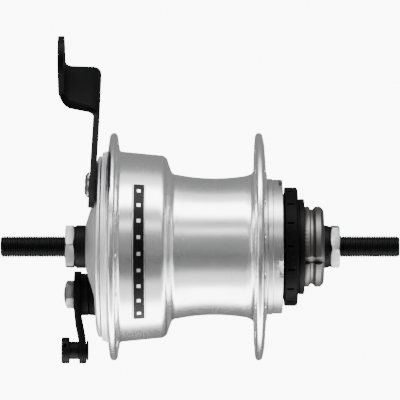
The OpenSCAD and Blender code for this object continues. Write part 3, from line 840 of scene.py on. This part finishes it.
def make_driver():
    """Sprocket seat with a circlip groove and three lug notches.

    Its inner end is slotted for the clutch.
    """
    x0, x1 = span("driver")
    seat, fork_x, bore, track_x = 17.48, 29.2, 8.4, DRIVER_BALLS[0]
    spacer_end = span("sprocket_spacer")[1]
    body = turned("driver_body", [
        (x0, 13.4, 0.2), (x0, 16.4, 0.3), (fork_x, 16.4), (fork_x, 18.2)
    ] + arc(RING_BALLS, TRACK_R, 240, 318, 12) + [
        (33.3, 18.4, 0.2), (STEP_X, 18.4), (STEP_X, STEP_R), (spacer_end, STEP_R),
        (spacer_end, seat), (46.2, seat, 0.15), (46.6, 16.3, 0.15), (47.6, 16.2, 0.2),
        (48.85, seat, 0.2), (51.0, seat, 0.4), (x1, seat - 1.5, 1.1), (x1, 14.6, 0.15),
        (track_x, 14.6), (track_x, 14.05)
    ] + arc(DRIVER_BALLS, TRACK_R, 90, 200, 12) + [
        (45.2, 10.4), (43.4, 10.4), (43.4, bore), (fork_x, bore), (fork_x, 13.4)
    ], 256)
    slots = [box_at("fork_slot", (20, 28.5), (10, 5.9), CLUTCH_ANGLE + 90 * k, 10)
             for k in range(4)]
    lugs = [box_at("lug_notch", (43, 55), (4, 3), 80 + 120 * k, 15.8) for k in range(3)]
    carve(body, [join("slots", slots + lugs)])
    soften(body, 0.15, 2, 42)
    place(body, "driver", SEAT, "satin_steel", "driver")


def make_dust_cap():
    """Hollow cap with a row of small slots round its edge."""
    x0, x1 = span("dust_cap")
    r, lip_out, lip_in = reach("dust_cap"), 22.9, 22.2
    cap = turned("dust_cap_shell", [
        (x0, lip_in, 0.1), (x0, lip_out, 0.1), (STEP_X, lip_out), (STEP_X, r - 0.1, 0.4),
        (x1, r, 1.3), (x1, STEP_R), (38.6, STEP_R), (38.6, 19), (36, 19), (36, lip_in)
    ], 288)
    count, slot_x, slot_depth = 16, (36.4, 39.2), 0.75
    slots = [box_at("cap_slot", slot_x, (3, 0.95), 179 + 360 / count * k, r - slot_depth)
             for k in range(count)]
    carve(cap, [join("cap_slots", slots)])
    soften(cap, 0.1, 2, 42)
    place(cap, "driver", PLASTIC, "black_plastic", "dust_cap")


def make_sprocket_spacer():
    x0, x1 = span("sprocket_spacer")
    r = reach("sprocket_spacer")
    low = r - 0.25
    ring = turned("spacer_ring", [
        (x0, STEP_R), (x0, low, 0.1), (x0 + 0.55, low, 0.15), (x0 + 0.75, r, 0.15),
        (x1, r, 0.35), (x1, STEP_R, 0.1)
    ], 256)
    place(ring, "driver", OXIDE, "black_steel", "sprocket_spacer")


# ---------- Brake lever ----------

LEVER_THICKNESS = 3.0
PIN_R = 3.14
PLAY = 0.06


def make_lever():
    """Tapered lever between two round ends, with a small step inwards below the cam."""
    x0 = span("brake_lever")[0]
    middle, crank, bend_r = x0 + LEVER_THICKNESS / 2, 2.6, 12
    side = thick_line([
        (middle, -12), (middle, 10, bend_r), (middle + crank, 23.2, bend_r), (middle + crank, 40)
    ], LEVER_THICKNESS)
    length, big, small = LEVER.length, 10.2, 5.8
    b = math.degrees(math.acos((big - small) / length))
    face = arc((0, 0), big, b, 360 - b, 48) + arc((length, 0), small, -b, b, 28)
    lever = bent_strip("lever_plate", side, face, LEVER_ANGLE, CAM)
    cut = through("brake_lever")
    carve(lever, [
        bar("cam_hole", cut, SPINDLE_HOLE_R, CAM), bar("pin_hole", cut, PIN_R + PLAY, CABLE_PIN)
    ])
    soften(lever, 0.28, 3, 30)
    place(lever, "brake_lever", PAINT, "black_steel", "brake_lever")


def make_lever_nut():
    """Hexagon nut with a slightly domed outer end."""
    x0, x1 = span("lever_nut")
    dome, cap_r, vertex = 14.0, 7.5, LEVER_ANGLE + 9.5
    nut = prism("lever_cap_nut", hexagon(11, vertex, CAM), x0, x1)
    top = math.degrees(math.asin(cap_r / dome))
    form = turned("nut_form", [(x1, 0), (x1, cap_r)] + [
        (x, max(r, 0)) for x, r in arc((x0 + dome, 0), dome, 180 - top, 180, 24)
    ], 192, CAM)
    carve(nut, [form], "INTERSECT")
    soften(nut, 0.25, 3, 22)
    place(nut, "brake_lever", ZINC, "zinc_plated_steel", "lever_nut")


def make_lever_bushes():
    """A spacer that turns with the lever, and a bush held in the plate's boss."""
    x0, x1 = span("lever_spacer")
    r = reach("lever_spacer")
    spacer = turned("lever_bush", [
        (x0, SPINDLE_HOLE_R), (x0, r, 0.3), (x1, r, 0.3), (x1, SPINDLE_HOLE_R)
    ], 160, CAM)
    place(spacer, "brake_lever", OXIDE, "black_steel", "lever_spacer")
    x0, x1 = span("cam_bush")
    bore, stub, seat = SPINDLE_HOLE_R + PLAY, 6.25, BOSS_X - 0.05
    bush = turned("plate_bush", [
        (x0, bore), (x0, r - 0.05, 0.3), (seat, r + 0.1, 0.25), (seat, stub), (x1, stub),
        (x1, bore)
    ], 160, CAM)
    place(bush, HUB, OXIDE, "black_steel", "cam_bush")


def make_cable_pin():
    """Pin that turns in the lever's end, with a hole across its head for the cable."""
    x0, x1 = span("cable_pin")
    collar = span("brake_lever")[1] - LEVER_THICKNESS - 0.1
    head, neck, head_r, neck_r, end_r = x0 + 3.4, x1 - 0.75, 5.75, 3.9, 4.4
    pin = turned("cable_trunnion", [
        (x0, 0), (x0, 5.45, 0.3), (x0 + 0.45, head_r, 0.3), (head, head_r, 0.35),
        (head, neck_r, 0.3), (collar, neck_r, 0.2), (collar, PIN_R), (neck, PIN_R),
        (neck, end_r, 0.2), (x1, end_r, 0.3), (x1, 0)
    ], 128, CABLE_PIN)
    hole = bar("cable_hole", (-9, 9), 0.9, segments=40)
    hole.data.transform(
        Matrix.Translation((x0 + 1.7, *CABLE_PIN))
        @ Matrix.Rotation(math.radians(LEVER_ANGLE), 4, "X")
        @ Matrix.Rotation(math.pi / 2, 4, "Y"))
    carve(pin, [hole])
    soften(pin, 0.12, 2, 42)
    place(pin, "cable_pin", OXIDE, "black_steel", "cable_pin")


# ---------- Frame nodes that keep their shape ----------

KEPT = {
    GEAR: ["primary_sun", "secondary_sun", "gear_ring", "planet_cage", "planet_pins",
           "planet_gear_1", "planet_gear_2", "planet_gear_3", "planet_gear_4", "clutch",
           "selector_key", "cage_pawls", "ring_pawls", "shell_ratchet", "fulcrum_pin",
           "brake_cam", "brake_plate_nut", "cone_locknut"],
    BEARING: ["left_balls", "ring_balls", "driver_balls", "left_cone", "left_ball_cup"],
    SPRING: ["clutch_spring", "shoe_springs", "left_ball_cage", "ring_ball_cage",
             "driver_ball_cage"],
    LINER: ["drum_liner"],
    LINING: ["front_lining", "rear_lining"],
    PLATE: ["front_shoe", "rear_shoe"],
    RUBBER: ["driver_seal"],
}


def finish_kept_nodes():
    """Gives the pieces inside the shell, which keep their CAD shape, their metal or rubber."""
    for material, names in KEPT.items():
        for name in names:
            for slot in frame["nodes"][name].material_slots:
                slot.material = material


# ---------- Stage, light and camera ----------

FLOOR_Z = -200
CARD_Z = FLOOR_Z + 8
STAGE_HALF_WIDTH = 2600


def stage_material(name, shade_of_grey):
    """Matt grey with a faint mottle."""
    colour = (shade_of_grey,) * 3
    material, tree, principled = shader(name, Roughness=0.9)
    tint = colours(tree, grain(tree, 6, 2), darker(colour, 0.985), colour)
    tree.links.new(tint, principled.inputs["Base Color"])
    return material


def seen_by_camera(tree, other, camera):
    """One number for what the camera sees itself, and another for all other rays."""
    seen = node(tree, "ShaderNodeLightPath").outputs["Is Camera Ray"]
    return ramp(tree, seen, other, camera, 0, 1)


def sheet(name, y0, y1, z, material):
    """Level sheet that runs across the whole set."""
    bm = bmesh.new()
    left, right = -STAGE_HALF_WIDTH, STAGE_HALF_WIDTH
    corners = [(left, y0, z), (left, y1, z), (right, y1, z), (right, y0, z)]
    bm.faces.new([bm.verts.new(c) for c in corners])
    made = link(name, bm)
    made.data.transform(Matrix.Scale(MM, 4))
    made.data.materials.append(material)
    return made


def make_stage():
    """Pale floor well below the hub, and two grey cards that show only as reflections."""
    pale = stage_material("floor_pale", 0.8)
    tree = pale.node_tree
    sockets = tree.nodes["Principled BSDF"].inputs
    sockets["Emission Color"].default_value = (1, 1, 1, 1)
    tree.links.new(seen_by_camera(tree, 0, 3), sockets["Emission Strength"])
    sheet("floor", -2600, 1440, FLOOR_Z, pale)
    grey = stage_material("card_grey", 0.07)
    for name, y0, y1 in (("front_card", -1250, -230), ("back_card", 40, 1000)):
        card = sheet(name, y0, y1, CARD_Z, grey)
        card.visible_camera = card.visible_diffuse = card.visible_shadow = False


def softbox(name, angle, distance, size, radiance, side=0.0):
    """Soft light in metres, aimed at the origin.

    angle runs from the camera's side upwards, and side is how far it stands along X.
    """
    light = bpy.data.lights.new(name, "AREA")
    light.shape = "RECTANGLE"
    light.size, light.size_y = size
    light.energy = radiance * math.pi * size[0] * size[1]
    lamp = bpy.data.objects.new(name, light)
    y, z = polar(distance, math.radians(angle))
    lamp.location = (side, -y, z)
    lamp.rotation_mode = "QUATERNION"
    lamp.rotation_quaternion = (-lamp.location).to_track_quat("-Z", "Y")
    bpy.context.scene.collection.objects.link(lamp)


def make_light():
    """Long boxes along the axle, two above, a strip in front and one below; one at the left."""
    softbox("top_box", 64, 0.9, (1.5, 0.42), 12)
    softbox("back_box", 88, 1.0, (1.5, 0.36), 1.5)
    softbox("strip_box", 27, 1.1, (1.5, 0.1), 5)
    softbox("left_box", 20, 0.7, (0.5, 0.7), 2.5, side=-1.1)
    softbox("low_box", -84, 0.185, (1.3, 0.12), 9)


def make_world():
    """White to the camera, and a weak even light on the hub."""
    world = bpy.data.worlds.new("studio")
    bpy.context.scene.world = world
    world.use_nodes = True
    tree = world.node_tree
    sockets = tree.nodes["Background"].inputs
    sockets["Color"].default_value = (1, 1, 1, 1)
    tree.links.new(seen_by_camera(tree, 0.28, 10), sockets["Strength"])


def make_camera():
    """Long lens, level, a little above the axle."""
    at, aim = Vector((2.8, -1353, 20)) * MM, Vector((-1.1, 0, 20.25)) * MM
    view_angle = math.radians(7.35)
    data = bpy.data.cameras.new("camera")
    data.sensor_width = 36
    data.lens = data.sensor_width / 2 / math.tan(view_angle / 2)
    data.clip_start, data.clip_end = 0.05, 20
    camera = bpy.data.objects.new("camera", data)
    camera.location = at
    camera.rotation_mode = "QUATERNION"
    camera.rotation_quaternion = (aim - at).to_track_quat("-Z", "Y")
    bpy.context.scene.collection.objects.link(camera)
    bpy.context.scene.camera = camera


make_camera()
make_axle()
make_locknuts()
make_lock_washer()
make_left_spacer()
make_right_cone()
make_brake_plate()
make_torque_arm()
make_rivets()
make_shell()
make_ball_ring()
make_label()
make_driver()
make_dust_cap()
make_sprocket_spacer()
make_lever()
make_lever_nut()
make_lever_bushes()
make_cable_pin()
finish_kept_nodes()
make_stage()
make_light()
make_world()
